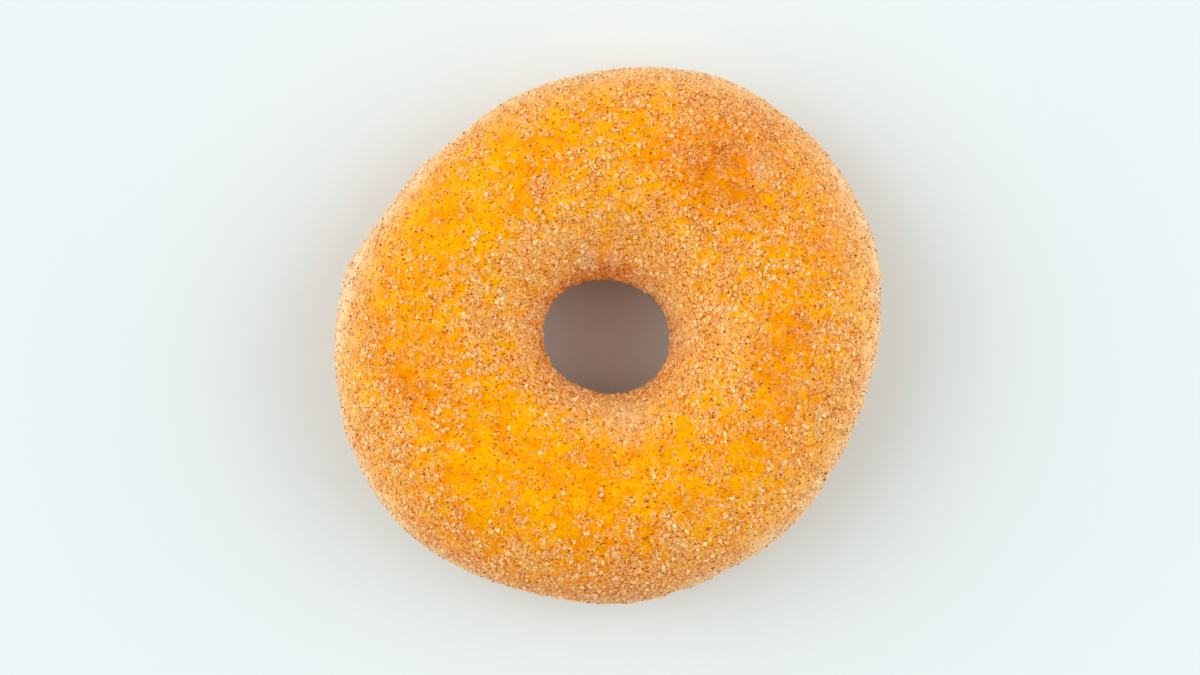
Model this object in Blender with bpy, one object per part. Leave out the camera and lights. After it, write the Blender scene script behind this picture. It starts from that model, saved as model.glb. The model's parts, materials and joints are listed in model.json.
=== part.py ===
"""A yeast-raised ring doughnut, fried on both sides and rolled in cinnamon sugar.

It is one solid piece of dough: an uneven ring that is slightly oval seen from above, with a crowned
top, a flatter underside that it rests on, and a round hole a little off the middle. Round its outer
side runs the pale line that floated above the oil, which parts the upper crust from the lower one.

Units are metres and +Z is up. The origin is in the middle of the ring's box, on the surface that
the doughnut stands on. Angles round the ring run from +X towards +Y, and angles round the dough
run from its outer side over the top into the hole.
"""

import math

import bpy
from mathutils import Vector, noise

# Driving sizes
OUTLINE_RADIUS = 0.0471
HOLE_RADIUS = 0.0109
HEIGHT = 0.0305
WIDEST_AT = 0.47  # share of the height where the outer side and the hole's wall bulge most
CROWN_ROUNDNESS = 2.05  # exponent of the section's upper half, where 2 is an ellipse
LIP_ROUNDNESS = 2.3  # and of its quarter that turns down into the hole
BASE_ROUNDNESS = 2.3  # exponent of its flatter lower half
BASE_FLATTENED = 0.0009  # depth of dough that the flat underside takes off the lower half
EVEN_BASE = math.radians(24)  # the underside is even this far to each side of its lowest line
UNEVEN_FROM = math.radians(55)  # and as uneven as the rest from here on

# Swells of a radius, a height or a depth: how many round the ring, how far, and where the first one peaks
OUTLINE_SWELLS = (
    (1, 0.00084, 12),
    (2, 0.00216, 38),
    (3, 0.00067, 62),
    (4, 0.00019, 34),
    (5, 0.00012, 11),
    (6, 0.00011, 49),
    (7, 0.00021, 16),
)
HOLE_SWELLS = (
    (1, 0.00022, 56),
    (2, 0.00055, 174),
)
HEIGHT_SWELLS = (
    (1, 0.00050, 205),
    (2, 0.00040, 70),
    (3, 0.00020, 10),
)

# Local dents (positive) and knobs (negative): angle round the ring and the dough in degrees, depth, radius
DENTS = (
    (286, -12, 0.0014, 0.0042),
    (299, 8, 0.0008, 0.0045),
    (126, 5, 0.0006, 0.0080),
    (155, 12, 0.0005, 0.0060),
    (165, 2, -0.0007, 0.0030),
    (52, 10, 0.0005, 0.0070),
    (338, 35, 0.0005, 0.0080),
    (40, 62, 0.0006, 0.0090),
    (200, 75, 0.0005, 0.0080),
    (262, 118, 0.0005, 0.0070),
)

# The pale line: a shallow trough between the lips of the two crusts, round the outer side
TROUGH_DEPTH = 0.00032
TROUGH_HALF_WIDTH = math.radians(9)
LIP_HEIGHT = 0.00016
LIP_HALF_WIDTH = math.radians(9)
LIP_SPACING = math.radians(20)  # from the trough's middle to each lip
LOWER_LIP_SPREAD = 1.4  # the lower lip is this much wider than the upper one
LINE_LEVEL = math.radians(3)  # the line's mean height, as an angle round the dough
LINE_SWELLS = (
    (2, math.radians(7), 13),
    (5, math.radians(2), 18),
)
LINE_STRENGTH = 0.7  # mean share of the trough's full depth
LINE_STRENGTH_SWELLS = ((3, 0.3, 112),)
LOWER_SWELL = 0.0009  # the lower crust stands proud of the upper one along the front
LOWER_SWELL_AT = math.radians(266)
LOWER_SWELL_HALF_WIDTH = math.radians(22)

# Uneven surface: size and depth of the broad swells and of the finer lumps
BROAD_SIZE = 0.015
BROAD_DEPTH = 0.00055
LUMP_SIZE = 0.0050
LUMP_DEPTH = 0.00022
NOISE_OFFSET = Vector((3.1, 7.4, 1.9))

# Mesh
RING_SEGMENTS = 132
DOUGH_SEGMENTS = 36
SIDE_CROWDING = 0.18  # draws the mesh's rows together at the outer side, for the trough

CRUST_COLOUR = (0.86, 0.36, 0.06, 1.0)
CRUST_ROUGHNESS = 0.75

SECTION_MIDDLE = (OUTLINE_RADIUS + HOLE_RADIUS) / 2
SECTION_HALF_WIDTH = (OUTLINE_RADIUS - HOLE_RADIUS) / 2


def clear_scene():
    for obj in list(bpy.data.objects):
        bpy.data.objects.remove(obj)


def make_collection(name):
    collection = bpy.data.collections.new(name)
    bpy.context.scene.collection.children.link(collection)
    return collection


def swell(swells, turn):
    """The sum at one angle round the ring of swells that each repeat evenly round it."""
    return sum(
        size * math.cos(count * (turn - math.radians(peak))) for count, size, peak in swells
    )


def turn_between(first, second):
    """The smaller way round from one angle to another, in radians and with its sign."""
    return (first - second + math.pi) % (2 * math.pi) - math.pi


def bump(distance, half_width):
    """A smooth bump, 1 at its middle and near 0 at twice its half-width."""
    return math.exp(-((distance / half_width) ** 2))


def ease(share):
    """A smooth step from 0 to 1."""
    share = min(max(share, 0.0), 1.0)
    return share * share * (3 - 2 * share)


def outline_radius(turn):
    return OUTLINE_RADIUS + swell(OUTLINE_SWELLS, turn)


def hole_radius(turn):
    return HOLE_RADIUS + swell(HOLE_SWELLS, turn)


def eased_power(value, roundness):
    """A sine or cosine reshaped so that the section is an ellipse at roundness 2 and squarer above it."""
    return math.copysign(abs(value) ** (2 / roundness), value)


def crust_line(turn, dough):
    """How far the side stands out at the pale line: a trough with a lip above and below it."""
    strength = LINE_STRENGTH + swell(LINE_STRENGTH_SWELLS, turn)
    above = turn_between(dough, LINE_LEVEL + swell(LINE_SWELLS, turn))
    trough = TROUGH_DEPTH * bump(above, TROUGH_HALF_WIDTH)
    upper_lip = LIP_HEIGHT * bump(above - LIP_SPACING, LIP_HALF_WIDTH)
    front = bump(turn_between(turn, LOWER_SWELL_AT), LOWER_SWELL_HALF_WIDTH)
    lower_half_width = LOWER_LIP_SPREAD * LIP_HALF_WIDTH
    lower_lip = (LIP_HEIGHT + LOWER_SWELL * front) * bump(above + LIP_SPACING, lower_half_width)
    return strength * (upper_lip - trough) + lower_lip


def dents(turn, dough):
    """How far the local dents and knobs set the surface in."""
    total = 0.0
    for at_turn, at_dough, depth, radius in DENTS:
        around = OUTLINE_RADIUS * turn_between(turn, math.radians(at_turn))
        across = SECTION_HALF_WIDTH * turn_between(dough, math.radians(at_dough))
        total += depth * bump(math.hypot(around, across), radius)
    return total


def unevenness(point):
    """Height of the broad swells and the finer lumps at a point of the surface."""
    broad = noise.noise(point / BROAD_SIZE + NOISE_OFFSET)
    lumps = noise.noise(point / LUMP_SIZE + 2 * NOISE_OFFSET)
    return BROAD_DEPTH * broad + LUMP_DEPTH * lumps


def surface_point(turn, dough):
    """The point of the doughnut at an angle round the ring and an angle round its dough."""
    outer, inner = outline_radius(turn), hole_radius(turn)
    height = HEIGHT + swell(HEIGHT_SWELLS, turn)
    widest = WIDEST_AT * height
    upper = math.sin(dough) > 0
    crown_roundness = CROWN_ROUNDNESS if math.cos(dough) > 0 else LIP_ROUNDNESS
    roundness = crown_roundness if upper else BASE_ROUNDNESS
    rise = height - widest if upper else widest + BASE_FLATTENED
    across = eased_power(math.cos(dough), roundness)
    radius = (outer + inner) / 2 + (outer - inner) / 2 * across
    level = widest + rise * eased_power(math.sin(dough), roundness)
    smooth = Vector((radius * math.cos(turn), radius * math.sin(turn), level))
    outwards = Vector(
        (math.cos(dough) * math.cos(turn), math.cos(dough) * math.sin(turn), math.sin(dough))
    )
    off_base = abs(turn_between(dough, -math.pi / 2))
    share = ease((off_base - EVEN_BASE) / (UNEVEN_FROM - EVEN_BASE))
    relief = share * (unevenness(smooth) + crust_line(turn, dough) - dents(turn, dough))
    raised = smooth + outwards * relief
    raised.z = max(raised.z, 0.0)
    return raised


def angles_of(point):
    """The angle round the ring and round the dough of a point on the plain torus."""
    turn = math.atan2(point.y, point.x)
    dough = math.atan2(point.z, math.hypot(point.x, point.y) - SECTION_MIDDLE)
    return turn, dough - SIDE_CROWDING * math.sin(2 * dough)


def centre_on_origin(mesh):
    """Puts the middle of the mesh's box over the origin."""
    for axis in (0, 1):
        places = [vertex.co[axis] for vertex in mesh.vertices]
        middle = (min(places) + max(places)) / 2
        for vertex in mesh.vertices:
            vertex.co[axis] -= middle


def crust_material():
    material = bpy.data.materials.new("sugared_crust")
    material.use_nodes = True
    shader = material.node_tree.nodes["Principled BSDF"]
    shader.inputs["Base Color"].default_value = CRUST_COLOUR
    shader.inputs["Roughness"].default_value = CRUST_ROUGHNESS
    shader.inputs["Metallic"].default_value = 0.0
    material.diffuse_color = CRUST_COLOUR
    return material


def make_doughnut(collection):
    bpy.ops.mesh.primitive_torus_add(
        major_segments=RING_SEGMENTS,
        minor_segments=DOUGH_SEGMENTS,
        major_radius=SECTION_MIDDLE,
        minor_radius=SECTION_HALF_WIDTH,
    )
    doughnut = bpy.context.object
    doughnut.name = doughnut.data.name = "doughnut"
    for vertex in doughnut.data.vertices:
        vertex.co = surface_point(*angles_of(vertex.co))
    centre_on_origin(doughnut.data)
    doughnut.data.shade_smooth()
    doughnut.data.materials.append(crust_material())
    for other in list(doughnut.users_collection):
        other.objects.unlink(doughnut)
    collection.objects.link(doughnut)
    return doughnut


def main():
    clear_scene()
    make_doughnut(make_collection("cinnamon_sugar_doughnut"))


main()
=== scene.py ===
"""The looks of the cinnamon sugar doughnut: its fried crust, and the sugar and cinnamon that stick to it.

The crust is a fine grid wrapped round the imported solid, with smoother curves and smaller swells. Its rows
run round the ring and its columns round the dough. The coat on it is real grains, each a small crystal that
sits in the crust: large, medium and fine sugar, sugar stained by the spice, and specks of cinnamon.

Units are metres and +Z is up. Places on the top that follow the photograph are in millimetres from the
middle of the doughnut's box. Angles round the ring run from +X towards +Y, and angles round the dough run
from its outer side over the top into the hole.
"""

import json
import math
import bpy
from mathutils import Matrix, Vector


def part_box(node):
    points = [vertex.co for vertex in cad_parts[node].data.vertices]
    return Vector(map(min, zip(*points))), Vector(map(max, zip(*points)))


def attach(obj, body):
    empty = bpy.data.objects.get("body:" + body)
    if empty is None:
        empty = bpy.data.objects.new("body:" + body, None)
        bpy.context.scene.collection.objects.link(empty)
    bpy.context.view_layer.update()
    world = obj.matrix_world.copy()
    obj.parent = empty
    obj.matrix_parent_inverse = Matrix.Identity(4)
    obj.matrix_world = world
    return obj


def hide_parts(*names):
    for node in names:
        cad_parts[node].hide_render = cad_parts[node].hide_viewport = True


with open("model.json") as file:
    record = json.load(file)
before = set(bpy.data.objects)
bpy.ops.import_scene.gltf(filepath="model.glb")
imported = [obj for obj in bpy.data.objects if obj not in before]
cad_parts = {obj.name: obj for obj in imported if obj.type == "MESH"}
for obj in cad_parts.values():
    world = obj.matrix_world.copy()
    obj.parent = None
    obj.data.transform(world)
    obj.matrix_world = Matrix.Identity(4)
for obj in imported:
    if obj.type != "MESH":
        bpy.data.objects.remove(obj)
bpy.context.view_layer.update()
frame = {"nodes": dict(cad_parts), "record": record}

from types import SimpleNamespace

import bpy
import numpy as np
from mathutils import Vector, noise
from mathutils.bvhtree import BVHTree

MM = 0.001
FULL_TURN = 2 * math.pi

# The photograph's frame, and where the middle of the doughnut's box lies in it
PHOTO_WIDTH, PHOTO_HEIGHT = 1200, 675
MIDDLE_PIXEL = (608.4, 335.5)
PIXELS_PER_METRE = 5730  # at the level where the doughnut is widest
LENS_MM, SENSOR_MM = 85, 36
CLIP_RANGE = 0.01, 20

# Windows round the room: the direction each lies in, its height and half its width in degrees, and its
# brightness
WINDOWS = (
    (180, 24, 52, 1.80),
    (0, 24, 52, 1.68),
    (135, 26, 52, 1.06),
    (45, 26, 52, 0.73),
    (270, 22, 52, 0.60),
    (180, 58, 32, 0.90),
    (0, 58, 32, 0.84),
)

# The floor: how far it reaches from the middle, and the size of the clouds in its shade
FLOOR_REACH = 4.0
FLOOR_CLOUD_SIZE = 60 * MM

# The crust's grid
RING_CELLS = 560
DOUGH_CELLS = 150
SMOOTHED_CELLS = (2.6, 2.2)  # how far the solid's facets are smoothed, round the ring and the dough

# Relief of the crust: size and height in millimetres of each layer of swells, and where their noise starts
CRUST_SWELLS = ((6.5, 0.16), (2.6, 0.085), (1.25, 0.040))
SWELLS_START, SWELLS_STEP = 11.3, 7.7
BASE_BAND = 1.5 * MM  # the relief fades out this near the surface that it stands on
BASE_EVEN = 0.2  # and is gone below this share of that band

# The pale line round the side: its mean height as an angle round the dough, how it swells round the
# ring (how many times, how far and where it is highest), and how far the pale dough reaches from it
LINE_LEVEL = math.radians(1)
LINE_SWELLS = (
    (1, math.radians(2), 125),
    (2, math.radians(4), -30),
    (5, math.radians(2), 18),
)
LINE_REACH_UP = math.radians(19)
LINE_REACH_DOWN = math.radians(30)
LINE_WANDER = math.radians(5), math.radians(3)  # how far it wanders with the medium and the small noise
LINE_BAREST = math.radians(12)  # where the pale line shows most, and again half-way round from there
LINE_BARE, LINE_BARER = 0.10, 0.27  # how much thinner the coat is along it, and further at its barest
PALE_MEAN, PALE_VARIES = 1.05, 0.3  # how pale it is, and how far that varies with the broad noise

# Noise that makes the coat and the crust uneven: the size of its features in millimetres, and its start
NOISE_LAYERS = {
    "wander": (4.0, 5.1),
    "broad": (9.0, 21.7),
    "medium": (3.4, 33.9),
    "small": (1.5, 47.3),
    "tiny": (0.8, 61.1),
}
WANDER_REACH = 1.2 * MM  # how far the edges of the patches below wander

# Places on the top where the sugar is thin: x, y and radius in millimetres, and how bare
BARE_PATCHES = (
    (-29.5, 20.0, 9.0, 1.00),
    (-16.0, 31.0, 6.0, 0.90),
    (-8.5, 34.0, 4.5, 0.95),
    (-36.5, 5.0, 6.0, 0.60),
    (-34.0, -7.0, 7.0, 0.55),
    (-1.0, 40.0, 5.0, 0.70),
    (7.5, 30.0, 4.0, 0.30),
    (6.0, 38.0, 5.0, 0.45),
    (-17.5, 20.5, 4.5, 0.55),
    (17.0, 29.0, 6.0, 0.45),
    (23.0, 24.0, 4.0, 0.35),
    (-18.0, -14.0, 5.5, 0.90),
    (-24.0, -22.0, 6.5, 0.90),
    (-22.0, -31.5, 5.0, 0.90),
    (-11.5, -22.5, 6.5, 1.00),
    (-2.5, -24.0, 6.5, 1.00),
    (5.0, -22.5, 5.0, 0.75),
    (-10.0, -33.0, 6.0, 0.62),
    (2.0, -33.5, 6.0, 0.62),
    (11.5, -18.5, 5.0, 0.90),
    (14.0, -27.5, 6.0, 0.38),
    (24.0, -20.5, 4.5, 0.45),
    (29.0, -37.0, 5.0, 0.35),
    (28.0, -9.0, 4.5, 0.30),
    (30.5, 0.0, 5.5, 0.35),
    (35.0, 8.0, 5.0, 0.30),
    (34.0, 18.0, 5.0, 0.25),
    (23.5, 13.0, 3.0, 0.40),
)

# Places on the top where the sugar is thick, as above
SUGARY_PATCHES = (
    (-14.0, 13.0, 6.0, 0.55),
    (-17.0, 3.0, 6.5, 0.45),
    (1.0, 14.0, 6.0, 0.50),
    (13.0, 11.0, 6.0, 0.60),
    (16.0, -1.0, 6.0, 0.50),
    (5.0, -14.0, 4.5, 0.70),
    (-9.0, -12.0, 4.0, 0.45),
    (-7.0, 20.5, 4.0, 0.40),
    (26.0, 29.5, 2.0, 0.90),
    (-3.5, 13.5, 1.6, 0.80),
    (1.0, 13.0, 1.2, 0.70),
    (5.0, -40.5, 7.0, 0.85),
    (-14.0, -41.0, 5.0, 0.50),
    (-39.0, -18.0, 6.0, 0.50),
    (-20.5, 24.0, 1.8, 0.70),
    (-25.0, 15.0, 1.6, 0.60),
)

# Places on the top where the spice stains the sugar, as above, and painted shade at the back lip of the hole
SPICED_AND_SHADED_PATCHES = (
    (17.0, 29.0, 8.0, 0.70),
    (24.0, 24.0, 6.0, 0.60),
    (7.5, 31.0, 5.0, 0.45),
    (36.0, 14.0, 7.0, 0.55),
    (31.0, 0.0, 7.0, 0.70),
    (28.5, -10.0, 6.0, 0.70),
    (25.0, -20.5, 5.0, 0.60),
    (15.0, -27.0, 6.0, 0.40),
    (-35.0, 3.0, 6.0, 0.35),
    (-34.0, -8.0, 7.0, 0.50),
    (-23.0, -28.0, 8.0, 0.35),
    (-1.0, 40.0, 5.0, 0.35),
    # Painted shade on the back lip of the hole, and beside the sugar clump there
    (-1.0, 12.0, 4.0, 0.50),
    (-1.3, 12.0, 1.1, 0.80),
    (2.6, 11.4, 1.5, 0.60),
    (37.0, 23.0, 6.0, 0.40),
    (27.0, 34.5, 7.0, 0.35),
)

# Places on the top where the sugar is cleanest and palest, as above
CLEAN_PATCHES = (
    (3.5, -13.6, 3.4, 0.50),
    (20.0, -1.0, 3.5, 0.22),
    (-3.8, 12.8, 1.6, 0.75),
    (1.0, 12.6, 1.1, 0.55),
    (26.3, 28.5, 1.8, 0.50),
)

# Places on the top where the crust is browner, as above, and painted shade on the front rim and at the back
# lip of the hole
BROWN_AND_SHADED_PATCHES = (
    (23.0, 33.0, 12.0, 0.62),
    (17.0, 26.0, 7.0, 0.42),
    (33.0, 0.0, 6.0, 0.20),
    (28.0, -17.0, 6.0, 0.30),
    (-31.0, -8.0, 7.0, 0.42),
    (-14.0, 30.0, 4.0, 0.30),
    # Painted shade along the front rim
    (0.0, -46.0, 12.0, 0.80),
    (-27.0, -38.0, 8.0, 0.50),
    # Painted shade beside the sugar clump on the back lip of the hole
    (-1.3, 12.0, 1.1, 0.80),
    (2.6, 11.4, 1.5, 0.60),
)

# Bands round the dough and stretches of the ring: the middle and half the width of each, in degrees
HOLE_WALL = (214, 24)  # out of sight from above
HOLE_LIP = (164, 18)
FRONT = (262, 38)
RIGHT_RIM = (33, 22)
LIP_AT_RIGHT = (16, 36)
LIP_AT_FRONT = (275, 32)

# How thick the coat lies: its mean and its least, and how much each thing adds to it
COVER_MEAN, LEAST_COVER = 0.585, 0.03
COVER_WEIGHTS = {"by_hole": 0.27, "crown": -0.14, "bare": -0.54, "sugary": 0.30, "below": 0.15, "wall": -0.40}
UNEVEN_WEIGHTS = {"medium": 0.36, "small": 0.60, "tiny": 0.60, "broad": 0.08}
THICK_TO, THICK_FADES = 1.0 * MM, 9.0 * MM  # the thick coat round the hole, from the hole outwards
CROWN_AT, CROWN_HALF_WIDTH = 22.5 * MM, 7.0 * MM  # the thinner coat along the crown
TURNED = 0.5  # the upright share of a normal from which its face counts as turned wholly up or down

# How far the spice stains the coat on its patches, some of which are painted shade, and how far painted shade
# darkens the coat low in the hole at the back
PATCH_STAIN_AND_SHADE = 0.8
BACK_SHADE, BACK_AT, BACK_NARROWS = 0.5, math.radians(105), 1.5
DEEP_AT, DEEP_REACH, DEEP_SPREADS = math.radians(188), math.radians(44), 0.5

# How much less pale the line is at the front and the right, and how much paler painted light makes the hole's
# lip at the right and the front
FRONT_LESS_PALE, RIGHT_LESS_PALE = 0.10, 0.15
LIP_LIGHT_AT_RIGHT, LIP_LIGHT_AT_FRONT = 0.55, 0.22

# How brown the crust is, painted shade included: its mean, and how much each thing adds to it
BROWN_MEAN = 0.20
BROWN_AND_SHADE_WEIGHTS = {
    "patches": 0.55, "under_line": 0.15, "broad": 0.20, "medium": 0.16, "stain": 0.15, "wall": -0.2
}
UNDER_LINE_FROM, UNDER_LINE_FADES = math.radians(30), math.radians(25)  # how far below the pale line
# Painted shade on the front of the side: how much browner, where round the dough it is centred, and how far
# it reaches
FRONT_SHADE, FRONT_SHADE_AT, FRONT_SHADE_REACH = 0.22, math.radians(10), math.radians(50)


def ease(share):
    """A smooth step from 0 to 1."""
    share = np.clip(share, 0.0, 1.0)
    return share * share * (3 - 2 * share)


def turn_between(first, second):
    """The smaller way round from one angle to another, in radians and with its sign."""
    return (first - second + math.pi) % FULL_TURN - math.pi


def bump(distance, half_width):
    """A smooth bump, 1 at its middle and near 0 at twice its half-width."""
    return np.exp(-((distance / half_width) ** 2))


def band(angles, place):
    """A smooth band, 1 along its middle, for angles round the ring or the dough."""
    middle, half_width = place
    return bump(turn_between(angles, math.radians(middle)), math.radians(half_width))


def weighed(weights, start=0.0, **fields):
    """A start and the sum of fields, each by its own weight."""
    return sum((weights[name] * field for name, field in fields.items()), start)


def unit(vectors):
    return vectors / np.linalg.norm(vectors, axis=-1, keepdims=True)


def noise_at(points, size, offset):
    """Smooth noise from -1 to 1 at each point, with features of a size."""
    places = points.reshape(-1, 3) / size + offset
    values = np.array([noise.noise(place) for place in places])
    return values.reshape(points.shape[:-1])


# The crust


def smoothed_round(grid, cells):
    """A grid that closes on itself both ways, blurred by so many cells along each axis."""
    waves = np.fft.fft2(grid)
    for axis, width in enumerate(cells):
        pitch = np.fft.fftfreq(grid.shape[axis])
        fall = np.exp(-2 * (math.pi * width * pitch) ** 2)
        waves = waves * (fall[:, None] if axis == 0 else fall[None, :])
    return np.fft.ifft2(waves).real


def grid_normals(points):
    """The outward normal at each point of the grid."""
    along_ring = np.roll(points, -1, axis=0) - np.roll(points, 1, axis=0)
    along_dough = np.roll(points, -1, axis=1) - np.roll(points, 1, axis=1)
    return unit(np.cross(along_ring, along_dough))


def section_axes(turns, doughs):
    """The direction outwards from the middle of the dough, for each angle round the ring and the dough."""
    across, up = np.cos(doughs), np.sin(doughs)
    return np.stack(
        [
            np.cos(turns)[:, None] * across[None, :],
            np.sin(turns)[:, None] * across[None, :],
            np.broadcast_to(up[None, :], (len(turns), len(doughs))),
        ],
        axis=-1,
    )


def wrap_solid(solid, hole):
    """A grid of points on the solid, found from the middle of its dough, with its facets smoothed away."""
    low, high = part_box(solid.name)
    outer = (high.x - low.x + high.y - low.y) / 4
    middle_radius = (outer + hole.radius) / 2
    turns = np.arange(RING_CELLS) * FULL_TURN / RING_CELLS
    doughs = np.arange(DOUGH_CELLS) * FULL_TURN / DOUGH_CELLS
    middles = np.stack(
        [
            hole.centre.x + middle_radius * np.cos(turns),
            hole.centre.y + middle_radius * np.sin(turns),
            np.full(RING_CELLS, (low.z + high.z) / 2),
        ],
        axis=-1,
    )
    axes = section_axes(turns, doughs)
    surface = BVHTree.FromPolygons(
        [vertex.co for vertex in solid.data.vertices],
        [list(face.vertices) for face in solid.data.polygons],
    )
    reach = np.array(
        [
            [surface.ray_cast(Vector(middles[i]), Vector(axis))[3] for axis in axes[i]]
            for i in range(RING_CELLS)
        ]
    )
    reach = smoothed_round(reach, SMOOTHED_CELLS)
    points = middles[:, None, :] + axes * reach[..., None]
    return SimpleNamespace(points=points, axes=axes, turns=turns, doughs=doughs)


def roughened(crust):
    """Adds the crust's own swells, and keeps its underside flat on the surface that it stands on."""
    points = crust.points
    above_base = ease((points[..., 2] - BASE_EVEN * BASE_BAND) / BASE_BAND)
    height = np.zeros(points.shape[:-1])
    for layer, (size, swell) in enumerate(CRUST_SWELLS):
        height += swell * MM * noise_at(points, size * MM, SWELLS_START + SWELLS_STEP * layer)
    points = points + crust.axes * (height * above_base)[..., None]
    points[..., 2] = np.maximum(points[..., 2], 0.0)
    crust.points = points
    crust.normals = grid_normals(points)


def patches(crust, places):
    """How far each point of the top lies in any of the places, from 0 to 1."""
    left = np.ones(crust.points.shape[:-1])
    for x, y, radius, strength in places:
        offset = crust.points[..., :2] - np.array([x, y]) * MM
        distance = np.linalg.norm(offset, axis=-1)
        left *= 1 - strength * bump(distance, radius * MM)
    return (1 - left) * ease(crust.normals[..., 2] / TURNED)


def lay_line(crust, noises):
    """Where the dough is pale along its line. Gives back the line's height as an angle round the dough."""
    turns, doughs = crust.turns[:, None], crust.doughs[None, :]
    line = LINE_LEVEL + sum(
        size * np.cos(count * (turns - math.radians(peak))) for count, size, peak in LINE_SWELLS
    )
    by_medium, by_small = LINE_WANDER
    from_line = turn_between(doughs, line) + by_medium * noises.medium + by_small * noises.small
    reach = np.where(from_line > 0, LINE_REACH_UP, LINE_REACH_DOWN)
    crust.pale = np.clip(bump(from_line, reach) * (PALE_MEAN + PALE_VARIES * noises.broad), 0.0, 1.0)
    return line


def lay_cover(crust, hole, noises, warped):
    """How thick the coat of sugar lies."""
    turns, doughs = crust.turns[:, None], crust.doughs[None, :]
    from_middle = np.linalg.norm(crust.points[..., :2] - np.array(hole.centre.xy), axis=-1)
    from_hole = from_middle - hole.radius
    cover = weighed(
        COVER_WEIGHTS,
        COVER_MEAN,
        by_hole=ease(1 - (from_hole - THICK_TO) / THICK_FADES),
        crown=bump(from_hole - CROWN_AT, CROWN_HALF_WIDTH) * (crust.normals[..., 2] > 0),
        bare=patches(warped, BARE_PATCHES),
        sugary=patches(warped, SUGARY_PATCHES),
        below=ease(-crust.normals[..., 2] / TURNED),
        wall=band(doughs, HOLE_WALL),
    )
    cover += weighed(
        UNEVEN_WEIGHTS, medium=noises.medium, small=noises.small, tiny=noises.tiny, broad=noises.broad
    )
    along_line = np.maximum(np.cos(2 * (turns - LINE_BAREST)), 0.0)
    cover -= crust.pale * (LINE_BARE + LINE_BARER * along_line)
    crust.cover = np.clip(cover, LEAST_COVER, 1.0)


def lay_stain(crust, warped):
    """Where the spice stains the coat, and the painted shade on the hole's wall at the back."""
    turns, doughs = crust.turns[:, None], crust.doughs[None, :]
    # Painted shade: the coat on the hole's wall darkened towards the back
    back_shade = BACK_SHADE * np.maximum(np.cos(turns - BACK_AT), 0.0) ** BACK_NARROWS
    off_wall = np.abs(turn_between(doughs, DEEP_AT))
    deep_shade = ease(1 - off_wall / DEEP_REACH) ** DEEP_SPREADS * back_shade
    stain = PATCH_STAIN_AND_SHADE * patches(warped, SPICED_AND_SHADED_PATCHES) + deep_shade + band(doughs, HOLE_WALL)
    crust.stain = np.clip(stain, 0.0, 1.0)


def lay_clean_and_lit_places(crust, warped):
    """Makes the line less pale at the front and the right, paints light on the hole's lip as paleness, and
    makes the cleanest sugar pale.
    """
    turns, doughs = crust.turns[:, None], crust.doughs[None, :]
    less_pale = FRONT_LESS_PALE * band(turns, FRONT) + RIGHT_LESS_PALE * band(turns, RIGHT_RIM)
    # Painted light: the hole's lip made paler at the right and the front
    lip = LIP_LIGHT_AT_RIGHT * band(turns, LIP_AT_RIGHT) + LIP_LIGHT_AT_FRONT * band(turns, LIP_AT_FRONT)
    clean_and_lit = band(doughs, HOLE_LIP) * lip + patches(warped, CLEAN_PATCHES)
    crust.pale = np.clip(crust.pale * (1 - less_pale) + clean_and_lit, 0.0, 1.0)


def lay_brown_and_shade(crust, noises, warped, line):
    """How brown the crust is, with painted shade along the front, on the front rim and at the back of the
    hole.
    """
    turns, doughs = crust.turns[:, None], crust.doughs[None, :]
    brown = weighed(
        BROWN_AND_SHADE_WEIGHTS,
        BROWN_MEAN,
        patches=patches(warped, BROWN_AND_SHADED_PATCHES),
        under_line=ease(turn_between(line - UNDER_LINE_FROM, doughs) / UNDER_LINE_FADES),
        broad=noises.broad,
        medium=noises.medium,
        stain=crust.stain,
        wall=band(doughs, HOLE_WALL),
    )
    over_side = ease(1 - np.abs(doughs - FRONT_SHADE_AT) / FRONT_SHADE_REACH)
    # Painted shade: the front of the side made browner
    brown += FRONT_SHADE * band(turns, FRONT) * over_side
    crust.brown = np.clip(brown, 0.0, 1.0)


def lay_fields(crust, hole):
    """Works out how the crust is browned, where it is pale, and how thick the coat lies on it, with painted
    shade laid into the browning and the spice's staining, and painted light on the hole's lip.
    """
    layers = NOISE_LAYERS.items()
    noises = SimpleNamespace(
        **{name: noise_at(crust.points, size * MM, offset) for name, (size, offset) in layers}
    )
    wander = WANDER_REACH * noises.wander
    warped = SimpleNamespace(points=crust.points + wander[..., None], normals=crust.normals)
    line = lay_line(crust, noises)
    lay_cover(crust, hole, noises, warped)
    lay_stain(crust, warped)
    lay_clean_and_lit_places(crust, warped)
    lay_brown_and_shade(crust, noises, warped, line)


def new_mesh_object(name, vertices, faces, smooth):
    mesh = bpy.data.meshes.new(name)
    mesh.from_pydata(vertices.tolist(), [], faces.tolist(), shade_flat=not smooth)
    piece = bpy.data.objects.new(name, mesh)
    bpy.context.scene.collection.objects.link(piece)
    return piece


def add_field(mesh, name, values):
    attribute = mesh.attributes.new(name, "FLOAT", "POINT")
    attribute.data.foreach_set("value", values.ravel().astype(np.float32))


def add_map(mesh, places):
    """The map that the colours are kept on, from a place for each corner of each face."""
    layer = mesh.uv_layers.new(name="OFBake")
    layer.data.foreach_set("uv", places.ravel().astype(np.float32))


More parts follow.
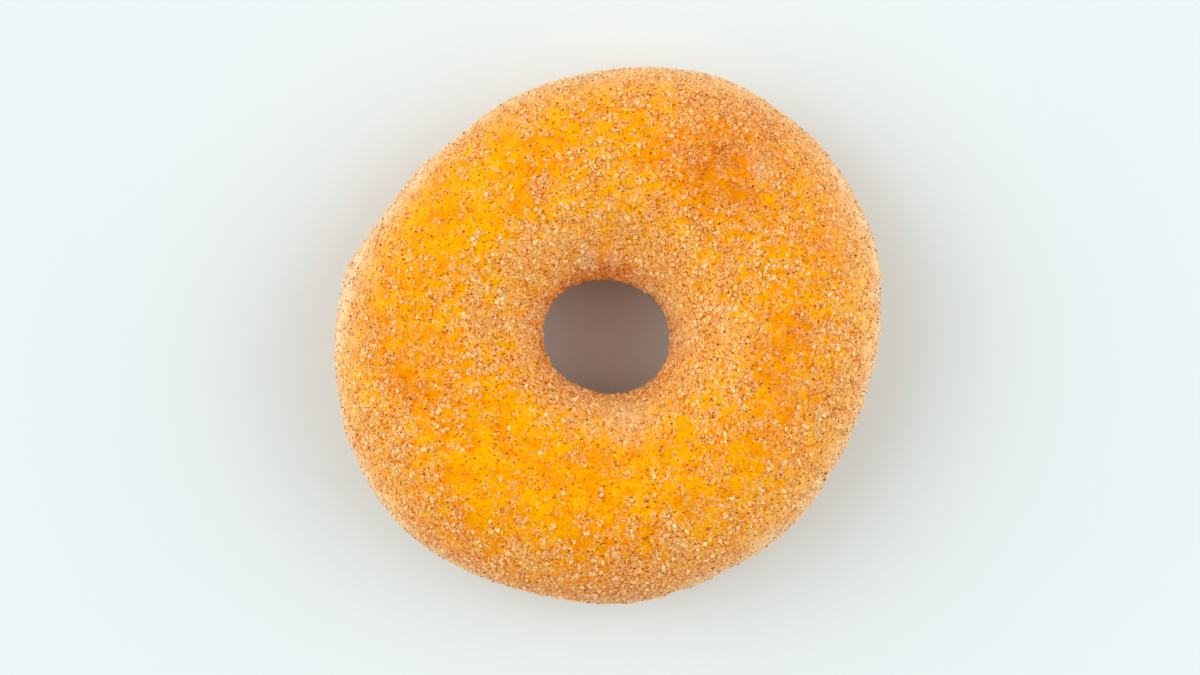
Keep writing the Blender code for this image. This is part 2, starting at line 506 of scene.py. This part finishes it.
def make_crust(crust):
    """The crust as one closed mesh, whose map is the grid laid flat."""
    ring, dough = np.meshgrid(np.arange(RING_CELLS), np.arange(DOUGH_CELLS), indexing="ij")
    corners = np.stack(
        [
            np.stack([ring, dough], axis=-1),
            np.stack([ring + 1, dough], axis=-1),
            np.stack([ring + 1, dough + 1], axis=-1),
            np.stack([ring, dough + 1], axis=-1),
        ],
        axis=-2,
    ).reshape(-1, 4, 2)
    faces = corners[..., 0] % RING_CELLS * DOUGH_CELLS + corners[..., 1] % DOUGH_CELLS
    piece = new_mesh_object("doughnut_crust", crust.points.reshape(-1, 3), faces, smooth=True)
    add_map(piece.data, corners / np.array([RING_CELLS, DOUGH_CELLS]))
    for field in ("brown", "pale", "cover", "stain"):
        add_field(piece.data, field, getattr(crust, field))
    return piece


# Nodes


class Nodes:
    """Short ways to add and link the nodes of one material."""

    def __init__(self, name):
        self.material = bpy.data.materials.new(name)
        self.material.use_nodes = True
        self.tree = self.material.node_tree
        self.shader = self.tree.nodes["Principled BSDF"]
        self.place = self.tree.nodes.new("ShaderNodeTexCoord").outputs["Object"]

    def add(self, kind, settings=None, **inputs):
        """A node, with its inputs by name, or by number after an underscore."""
        node = self.tree.nodes.new(kind)
        for key, value in (settings or {}).items():
            setattr(node, key, value)
        for key, value in inputs.items():
            self.feed(node.inputs[int(key[1:]) if key[0] == "_" else key], value)
        return node

    def feed(self, socket, value):
        if isinstance(value, bpy.types.NodeSocket):
            self.tree.links.new(value, socket)
        else:
            socket.default_value = value

    def field(self, name):
        """A value that the mesh holds at each point."""
        return self.add("ShaderNodeAttribute", {"attribute_name": name}).outputs["Fac"]

    def noise(self, size, detail=2.0, shift=0.0):
        """Noise with features of a size in metres, from 0 to 1."""
        offset = (shift, shift, shift)
        moved = self.add("ShaderNodeVectorMath", {"operation": "ADD"}, _0=self.place, _1=offset)
        texture = self.add("ShaderNodeTexNoise", Vector=moved.outputs[0], Scale=1 / size, Detail=detail)
        return texture.outputs["Fac"]

    def cells(self, size):
        """Distance from the nearest of scattered points, and its colour, for grains of a size in metres."""
        return self.add("ShaderNodeTexVoronoi", Vector=self.place, Scale=1 / size)

    def relief(self, height, depth, strength, **inputs):
        """A normal tilted by a height from 0 to 1, over another relief where one is given."""
        settings = {"Height": height, "Distance": depth, "Strength": strength, **inputs}
        return self.add("ShaderNodeBump", **settings).outputs["Normal"]

    def surface(self, roughness, specular):
        """Sets how rough the surface is and how far it shines, the same all over."""
        self.shader.inputs["Roughness"].default_value = roughness
        self.shader.inputs["Specular IOR Level"].default_value = specular
        return self.material

    def maths(self, operation, first, second, clamp=False):
        settings = {"operation": operation, "use_clamp": clamp}
        return self.add("ShaderNodeMath", settings, _0=first, _1=second).outputs[0]

    def ranged(self, value, low, high, to_low=0.0, to_high=1.0):
        """A value moved smoothly from one range to another, and kept in it."""
        node = self.add("ShaderNodeMapRange", {"interpolation_type": "SMOOTHSTEP"}, Value=value)
        ends = {"From Min": low, "From Max": high, "To Min": to_low, "To Max": to_high}
        for key, number in ends.items():
            self.feed(node.inputs[key], number)
        return node.outputs["Result"]

    def mixed(self, share, first, second):
        """Two colours mixed by a share."""
        node = self.add("ShaderNodeMix", {"data_type": "RGBA"})
        self.feed(node.inputs["Factor"], share)
        self.feed(node.inputs[6], first)
        self.feed(node.inputs[7], second)
        return node.outputs[2]


def colour(red, green, blue):
    """A colour seen on a screen, from 0 to 255, as the light that a surface sends back."""
    shares = (value / 255 for value in (red, green, blue))
    return tuple(s / 12.92 if s <= 0.04045 else ((s + 0.055) / 1.055) ** 2.4 for s in shares) + (1.0,)


BARE_YELLOW = colour(253, 180, 0)
BARE_ORANGE = colour(244, 148, 0)
BROWNED = colour(208, 106, 10)
# Pale dough, also used as painted light on the hole's lip
PALE_DOUGH_AND_LIP_LIGHT = colour(248, 224, 182)
DUST = colour(254, 218, 140)
MID_DUST = colour(250, 186, 94)
DARK_DUST = colour(180, 72, 0)
FRECKLE = colour(230, 112, 0)
SPICE = colour(150, 56, 0)

# Each sugar's darkest, middle and brightest grains, its grains where the spice stains them and where shade is
# painted on them, and how far the crust shows through the darkest
SUGARS = {
    "clear_sugar": (
        (colour(240, 168, 88), colour(255, 215, 146), colour(255, 232, 176), colour(246, 142, 40)),
        0.34,
    ),
    "spiced_sugar": (
        (colour(190, 86, 6), colour(248, 178, 86), colour(255, 215, 150), colour(216, 102, 16)),
        0.25,
    ),
}
SPECK_DARK, SPECK_LIGHT = colour(144, 50, 0), colour(206, 88, 6)
FLOOR_SHADES = (0.785, 0.862, 0.878, 1), (0.800, 0.874, 0.890, 1)

# Sizes of what the crust's material draws
MOTTLE_SIZE, PALE_MOTTLE_SIZE = 2.4 * MM, 1.7 * MM
FILM_GRAIN_SIZE, FILM_SPECK_SPACING = 0.40 * MM, 1.5 * MM
BLISTER_SIZE, BLISTER_HEIGHT, BLISTER_STRENGTH = 1.1 * MM, 0.10 * MM, 0.30
FILM_GRAIN_HEIGHT, FILM_GRAIN_STRENGTH = 0.07 * MM, 0.4

# Spans in the crust's material: where each change starts and is full, and where given what it goes from
# and to
YELLOW_TO_ORANGE, ORANGE_TO_BROWN = (0.45, 1.05), (0.95, 1.55)  # by how brown the crust is
PALE_MOTTLED = (0.2, 0.6, 0.75, 1.0)  # of the pale dough, by its mottle
DARK_TO_MID_DUST, MID_TO_LIGHT_DUST = (0.14, 0.46), (0.55, 1.0)  # by the red tone of a grain's cell
FRECKLED = (0.6, 0.9, 0.0, 0.5)  # by the blue tone
FILM_SPREAD, FILMED = 0.75, (-0.10, 0.30, 0.0, 0.9)  # by the thickness of the coat less the green tone
CRUST_SHOWS, CRUST_SHOWS_FURTHER = 0.25, 0.45  # through the film, and further where it is stained or pale
FILM_SPECKED = (0.07, 0.13, 0.6, 0.0)  # by the distance from the middle of a cell
FILM_GRAIN_ROUND = (0.1, 0.6, 1.0, 0.0)
CRUST_ROUGHNESS, CRUST_SPECULAR = (0.0, 0.6, 0.55, 0.85), 0.02  # roughness by the film

# Spans in the sugar's material, by a grain's tone, and by how far the spice stains it and shade is painted on
# it
DARK_TO_MIDDLE, MIDDLE_TO_BRIGHT = (0.0, 0.60), (0.70, 1.0)
STAINED_AND_SHADED = (0.05, 0.6, 0.0, 0.70)
BRIGHT_CLEAR, PALE_CLEAR = 0.12, 0.35  # how far the crust shows through bright grains, and on pale dough
SPECK_LIGHTENS = (0.1, 0.7)


def bare_crust(n):
    """Fried dough, yellow to brown with painted shade in places, and pale along its line and where light is
    painted on the hole's lip.
    """
    warm = n.maths("ADD", n.field("brown"), n.noise(MOTTLE_SIZE, detail=3.0, shift=0.31))
    crust = n.mixed(n.ranged(warm, *YELLOW_TO_ORANGE), BARE_YELLOW, BARE_ORANGE)
    crust = n.mixed(n.ranged(warm, *ORANGE_TO_BROWN), crust, BROWNED)
    uneven = n.ranged(n.noise(PALE_MOTTLE_SIZE, shift=0.77), *PALE_MOTTLED)
    return n.mixed(n.maths("MULTIPLY", n.field("pale"), uneven), crust, PALE_DOUGH_AND_LIP_LIGHT)


def crust_material():
    """The crust under a broken film of fine sugar and cinnamon, whose grains are cells of one tone each."""
    n = Nodes("fried_crust")
    crust = bare_crust(n)
    grain = n.cells(FILM_GRAIN_SIZE)
    tones = n.add("ShaderNodeSeparateColor", Color=grain.outputs["Color"]).outputs
    dust = n.mixed(n.ranged(tones["Red"], *DARK_TO_MID_DUST), DARK_DUST, MID_DUST)
    dust = n.mixed(n.ranged(tones["Red"], *MID_TO_LIGHT_DUST), dust, DUST)
    # The crust shows further through the film where the spice stains it, where shade is painted and where it
    # is pale
    stained_or_pale = n.maths("ADD", n.field("stain"), n.field("pale"))
    further = n.maths("MULTIPLY", stained_or_pale, CRUST_SHOWS_FURTHER)
    dust = n.mixed(n.maths("ADD", further, CRUST_SHOWS, clamp=True), dust, crust)
    crust = n.mixed(n.ranged(tones["Blue"], *FRECKLED), crust, FRECKLE)
    wanted = n.maths("SUBTRACT", n.field("cover"), n.maths("MULTIPLY", tones["Green"], FILM_SPREAD))
    film = n.ranged(wanted, *FILMED)
    coated = n.mixed(film, crust, dust)

    speck = n.cells(FILM_SPECK_SPACING)
    is_speck = n.ranged(speck.outputs["Distance"], *FILM_SPECKED)
    n.feed(n.shader.inputs["Base Color"], n.mixed(is_speck, coated, SPICE))

    rounded = n.maths("MULTIPLY", n.ranged(grain.outputs["Distance"], *FILM_GRAIN_ROUND), film)
    low = n.relief(n.noise(BLISTER_SIZE, shift=0.47), BLISTER_HEIGHT, BLISTER_STRENGTH)
    high = n.relief(rounded, FILM_GRAIN_HEIGHT, FILM_GRAIN_STRENGTH, Normal=low)
    n.feed(n.shader.inputs["Normal"], high)
    n.feed(n.shader.inputs["Roughness"], n.ranged(film, *CRUST_ROUGHNESS))
    n.shader.inputs["Specular IOR Level"].default_value = CRUST_SPECULAR
    return n.material


# The coat

# Shapes of a grain: its corners, and the corners of each of its faces
BOX_CORNERS = np.array([[x, y, z] for x in (-1, 1) for y in (-1, 1) for z in (-1, 1)], float)
BOX_FACES = np.array([[0, 1, 3, 2], [4, 6, 7, 5], [0, 4, 5, 1], [2, 3, 7, 6], [0, 2, 6, 4], [1, 5, 7, 3]])
CHIP_CORNERS = np.array([[1, 0, 0], [0, 1, 0], [-1, 0, 0], [0, -1, 0], [0, 0, 1], [0, 0, -1]], float)
CHIP_FACES = np.array(
    [[0, 1, 4], [1, 2, 4], [2, 3, 4], [3, 0, 4], [1, 0, 5], [2, 1, 5], [3, 2, 5], [0, 3, 5]]
)
SPLINTER_CORNERS = np.array([[1, 1, 1], [-1, -1, 1], [-1, 1, -1], [1, -1, -1]], float) * 0.8
SPLINTER_FACES = np.array([[0, 1, 3], [0, 2, 1], [0, 3, 2], [1, 2, 3]])
BOX = BOX_CORNERS, BOX_FACES
CHIP = CHIP_CORNERS, CHIP_FACES
SPLINTER = SPLINTER_CORNERS, SPLINTER_FACES

# Kinds of sugar: how many grains, their least and greatest size in millimetres, how far they stand off
# the crust, how closely they keep to the thick coat, their shape and their sugar
SUGAR_KINDS = (
    ("sugar_large", 8000, 0.46, 0.74, 0.30, 1.8, BOX, "clear_sugar"),
    ("sugar_medium", 24000, 0.36, 0.60, 0.40, 1.6, CHIP, "clear_sugar"),
    ("sugar_spiced", 23500, 0.30, 0.52, 0.35, 1.4, CHIP, "spiced_sugar"),
    ("sugar_fine", 48000, 0.24, 0.44, 0.40, 1.3, SPLINTER, "clear_sugar"),
)
SUGAR_LIFTS, SUGAR_TILT = (-0.5, 0.6), 0.38  # how far single grains differ in lift, and how they lean
GRAIN_STAIN_AND_SHADE = {"brown": 0.10, "stain": 0.65, "pale": -0.3}  # by what the crust is like beneath it

# Specks of cinnamon: how many, their least, usual and greatest size in millimetres, and as above
SPECK_COUNT, SPECK_SIZES = 7000, (0.20, 0.30, 0.52)
SPECK_LIFT, SPECK_LIFTS, SPECK_TILT = 1.1, (-0.3, 0.8), 0.6
SPECKS_ANYWHERE = 0.4  # this share of them lies as thick on bare crust

# Shape of every grain, as shares of its length, and how far its corners are knocked about
GRAIN_WIDTHS, GRAIN_THICKNESSES = (0.55, 0.95), (0.35, 0.65)
KNOCKED = 0.22

THINNER_BELOW = 0.45  # the coat lies this much thinner on the underside
MAP_MARGIN = 0.08  # left free round each face's box on the map, as a share of the box
RANDOM_START = 1424


def between(grid, cell, share):
    """A grid's values at places inside its cells, from the four corners of each."""
    ring, dough = cell
    next_ring, next_dough = (ring + 1) % RING_CELLS, (dough + 1) % DOUGH_CELLS
    u, v = (s if grid.ndim == 2 else s[:, None] for s in share)
    near = grid[ring, dough] * (1 - u) + grid[next_ring, dough] * u
    far = grid[ring, next_dough] * (1 - u) + grid[next_ring, next_dough] * u
    return near * (1 - v) + far * v


def scattered(crust, count, weight, draws):
    """Random places on the crust, thicker where the weight is greater."""
    ring_step = np.roll(crust.points, -1, axis=0) - crust.points
    dough_step = np.roll(crust.points, -1, axis=1) - crust.points
    area = np.linalg.norm(np.cross(ring_step, dough_step), axis=-1)
    total = np.cumsum((area * weight).ravel())
    chosen = np.searchsorted(total, draws.random(count) * total[-1])
    cell = chosen // DOUGH_CELLS, chosen % DOUGH_CELLS
    share = draws.random(count), draws.random(count)
    return SimpleNamespace(
        points=between(crust.points, cell, share),
        normals=unit(between(crust.normals, cell, share)),
        brown=between(crust.brown, cell, share),
        pale=between(crust.pale, cell, share),
        stain=between(crust.stain, cell, share),
    )


def grain_mesh(name, places, sizes, lifts, tilt, shape, draws):
    """Crystals of uneven shape, one at each place, sunk in the crust or lifted by a share of their size."""
    corners, faces = shape
    count = len(sizes)
    up = unit(places.normals + tilt * draws.normal(size=(count, 3)))
    side = unit(np.cross(up, draws.normal(size=(count, 3))))
    axes = np.stack([side, np.cross(up, side), up], axis=1)
    widths = draws.uniform(*GRAIN_WIDTHS, count)
    thicknesses = draws.uniform(*GRAIN_THICKNESSES, count)
    extents = np.stack([np.ones(count), widths, thicknesses], axis=-1)
    knocked = corners[None] * (1 + draws.uniform(-KNOCKED, KNOCKED, (count, len(corners), 3)))
    local = knocked * (extents * sizes[:, None] / 2)[:, None, :]
    centres = places.points + places.normals * (lifts * sizes * thicknesses / 2)[:, None]
    vertices = centres[:, None, :] + np.einsum("nij,njk->nik", local, axes)
    vertices[..., 2] = np.maximum(vertices[..., 2], 0.0)
    first_corners = (np.arange(count) * len(corners))[:, None, None]
    all_faces = (faces[None] + first_corners).reshape(-1, faces.shape[1])
    piece = new_mesh_object(name, vertices.reshape(-1, 3), all_faces, smooth=False)
    add_map(piece.data, grain_map(count, faces.shape))
    return piece


def grain_map(count, shape):
    """A cell of the map for each grain, with a box in it for each face."""
    face_count, corner_count = shape
    columns = math.ceil(math.sqrt(count))
    grain = np.arange(count)
    cell = np.stack([grain % columns, grain // columns], axis=-1)
    boxes_across = face_count // 2
    face = np.arange(face_count)
    box = np.stack([face % boxes_across / boxes_across, face // boxes_across / 2], axis=-1)
    square = np.array([[0, 0], [1, 0], [1, 1], [0, 1]], float)
    corner = square if corner_count == 4 else square[[0, 1, 3]]
    inset = MAP_MARGIN + (1 - 2 * MAP_MARGIN) * corner
    inside = box[:, None, :] + inset[None] / np.array([boxes_across, 2])
    return (cell[:, None, None, :] + inside[None]) / columns


def hold_tones(piece, count, draws):
    """Keeps on the piece a tone for each grain, and gives back how many corners a grain has."""
    corner_count = len(piece.data.vertices) // count
    add_field(piece.data, "tone", np.repeat(draws.random(count), corner_count))
    return corner_count


def hold_fields(piece, places, corner_count):
    """Keeps on the piece what the crust is like beneath each grain."""
    below = {"brown": places.brown, "stain": places.stain, "pale": places.pale}
    stain = np.clip(weighed(GRAIN_STAIN_AND_SHADE, **below), 0.0, 1.0)
    for name, values in (("brown", places.brown), ("pale", places.pale), ("stain", stain)):
        add_field(piece.data, name, np.repeat(values, corner_count))


def sugar_material(name):
    """Crystals from dark to bright by their tone, browner where the spice lies thick and where shade is
    painted on the coat. The crust shows through the darkest by the share that is clear, and less through the
    bright ones."""
    (dark, light, bright, stained), clear = SUGARS[name]
    n = Nodes(name)
    tone, stain = n.field("tone"), n.field("stain")
    body = n.mixed(n.ranged(tone, *DARK_TO_MIDDLE), dark, light)
    body = n.mixed(n.ranged(tone, *MIDDLE_TO_BRIGHT), body, bright)
    # Browner where the spice stains the grain and where shade is painted on it
    body = n.mixed(n.ranged(stain, *STAINED_AND_SHADED), body, stained)
    through_pale = n.maths("MULTIPLY", n.field("pale"), PALE_CLEAR)
    shows = n.maths("ADD", n.ranged(tone, 0.0, 1.0, clear, BRIGHT_CLEAR), through_pale)
    n.feed(n.shader.inputs["Base Color"], n.mixed(shows, body, bare_crust(n)))
    return n.surface(roughness=0.40, specular=0.30)


def speck_material():
    """Ground cinnamon, reddish to dark brown."""
    n = Nodes("ground_cinnamon")
    shade = n.ranged(n.field("tone"), *SPECK_LIGHTENS)
    n.feed(n.shader.inputs["Base Color"], n.mixed(shade, SPECK_DARK, SPECK_LIGHT))
    return n.surface(roughness=0.9, specular=0.0)


def make_grains(crust):
    """Every kind of grain in the coat, each as one piece."""
    draws = np.random.default_rng(RANDOM_START)
    thinner_below = 1 - THINNER_BELOW * ease(-crust.normals[..., 2] / TURNED)
    materials = {name: sugar_material(name) for name in SUGARS}
    pieces = []
    for name, count, least, greatest, lift, power, shape, sugar in SUGAR_KINDS:
        places = scattered(crust, count, thinner_below * crust.cover**power, draws)
        sizes = draws.triangular(least, (least * 2 + greatest) / 3, greatest, count) * MM
        lifts = lift + draws.uniform(*SUGAR_LIFTS, count)
        piece = grain_mesh(name, places, sizes, lifts, SUGAR_TILT, shape, draws)
        hold_fields(piece, places, hold_tones(piece, count, draws))
        piece.data.materials.append(materials[sugar])
        pieces.append(piece)

    weight = thinner_below * (SPECKS_ANYWHERE + (1 - SPECKS_ANYWHERE) * crust.cover)
    places = scattered(crust, SPECK_COUNT, weight, draws)
    sizes = draws.triangular(*SPECK_SIZES, SPECK_COUNT) * MM
    lifts = SPECK_LIFT + draws.uniform(*SPECK_LIFTS, SPECK_COUNT)
    specks = grain_mesh("cinnamon_specks", places, sizes, lifts, SPECK_TILT, CHIP, draws)
    hold_tones(specks, SPECK_COUNT, draws)
    specks.data.materials.append(speck_material())
    pieces.append(specks)
    return pieces


# Floor, light and camera


def make_floor():
    """A pale floor that the doughnut stands on, a little uneven in shade."""
    far = FLOOR_REACH
    corners = np.array([[-far, -far, 0], [far, -far, 0], [far, far, 0], [-far, far, 0]])
    floor = new_mesh_object("floor", corners, np.array([[0, 1, 2, 3]]), smooth=False)
    n = Nodes("pale_floor")
    n.feed(n.shader.inputs["Base Color"], n.mixed(n.noise(FLOOR_CLOUD_SIZE), *FLOOR_SHADES))
    floor.data.materials.append(n.surface(roughness=0.7, specular=0.2))


def light_scene():
    """Light from broad windows round the room, each of which fades out smoothly from its middle."""
    world = bpy.data.worlds.new("soft_room")
    world.use_nodes = True
    tree = world.node_tree
    background = tree.nodes["Background"]
    background.inputs["Color"].default_value = (1, 1, 1, 1)
    place = tree.nodes.new("ShaderNodeTexCoord").outputs["Generated"]
    total = None
    for azimuth, elevation, half_width, strength in WINDOWS:
        turn, rise = math.radians(azimuth), math.radians(elevation)
        towards = (math.cos(turn) * math.cos(rise), math.sin(turn) * math.cos(rise), math.sin(rise))
        near = tree.nodes.new("ShaderNodeVectorMath")
        near.operation = "DOT_PRODUCT"
        near.inputs[1].default_value = towards
        tree.links.new(place, near.inputs[0])
        glow = tree.nodes.new("ShaderNodeMapRange")
        glow.interpolation_type = "SMOOTHSTEP"
        glow.inputs["From Min"].default_value = math.cos(math.radians(half_width))
        glow.inputs["From Max"].default_value = 1.0
        glow.inputs["To Max"].default_value = strength
        tree.links.new(near.outputs["Value"], glow.inputs["Value"])
        if total is None:
            total = glow.outputs["Result"]
            continue
        added = tree.nodes.new("ShaderNodeMath")
        tree.links.new(total, added.inputs[0])
        tree.links.new(glow.outputs["Result"], added.inputs[1])
        total = added.outputs[0]
    tree.links.new(total, background.inputs["Strength"])
    bpy.context.scene.world = world


def make_camera():
    """Straight above, at the height that gives the photograph's scale."""
    data = bpy.data.cameras.new("camera")
    data.lens, data.sensor_width = LENS_MM, SENSOR_MM
    data.clip_start, data.clip_end = CLIP_RANGE
    camera = bpy.data.objects.new("camera", data)
    low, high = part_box("doughnut")
    distance = LENS_MM * (PHOTO_WIDTH / PIXELS_PER_METRE) / SENSOR_MM
    across = (PHOTO_WIDTH / 2 - MIDDLE_PIXEL[0]) / PIXELS_PER_METRE
    up = (MIDDLE_PIXEL[1] - PHOTO_HEIGHT / 2) / PIXELS_PER_METRE
    camera.location = (across, up, (low.z + high.z) / 2 + distance)
    bpy.context.scene.collection.objects.link(camera)
    bpy.context.scene.camera = camera


def hole_of(record):
    """The middle of the hole and its least half-width, from the box that the record states in it."""
    low, high = record["physics"]["openings"][0]["box_m"]
    centre = Vector(((low[0] + high[0]) / 2, (low[1] + high[1]) / 2, 0))
    return SimpleNamespace(centre=centre, radius=min(high[0] - low[0], high[1] - low[1]) / 2)


def main():
    make_camera()
    hole = hole_of(frame["record"])
    crust = wrap_solid(frame["nodes"]["doughnut"], hole)
    roughened(crust)
    lay_fields(crust, hole)
    crust_piece = make_crust(crust)
    crust_piece.data.materials.append(crust_material())
    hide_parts("doughnut")
    for piece in (crust_piece, *make_grains(crust)):
        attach(piece, "root")
    make_floor()
    light_scene()
    bpy.context.scene.view_settings.view_transform = "Standard"


main()
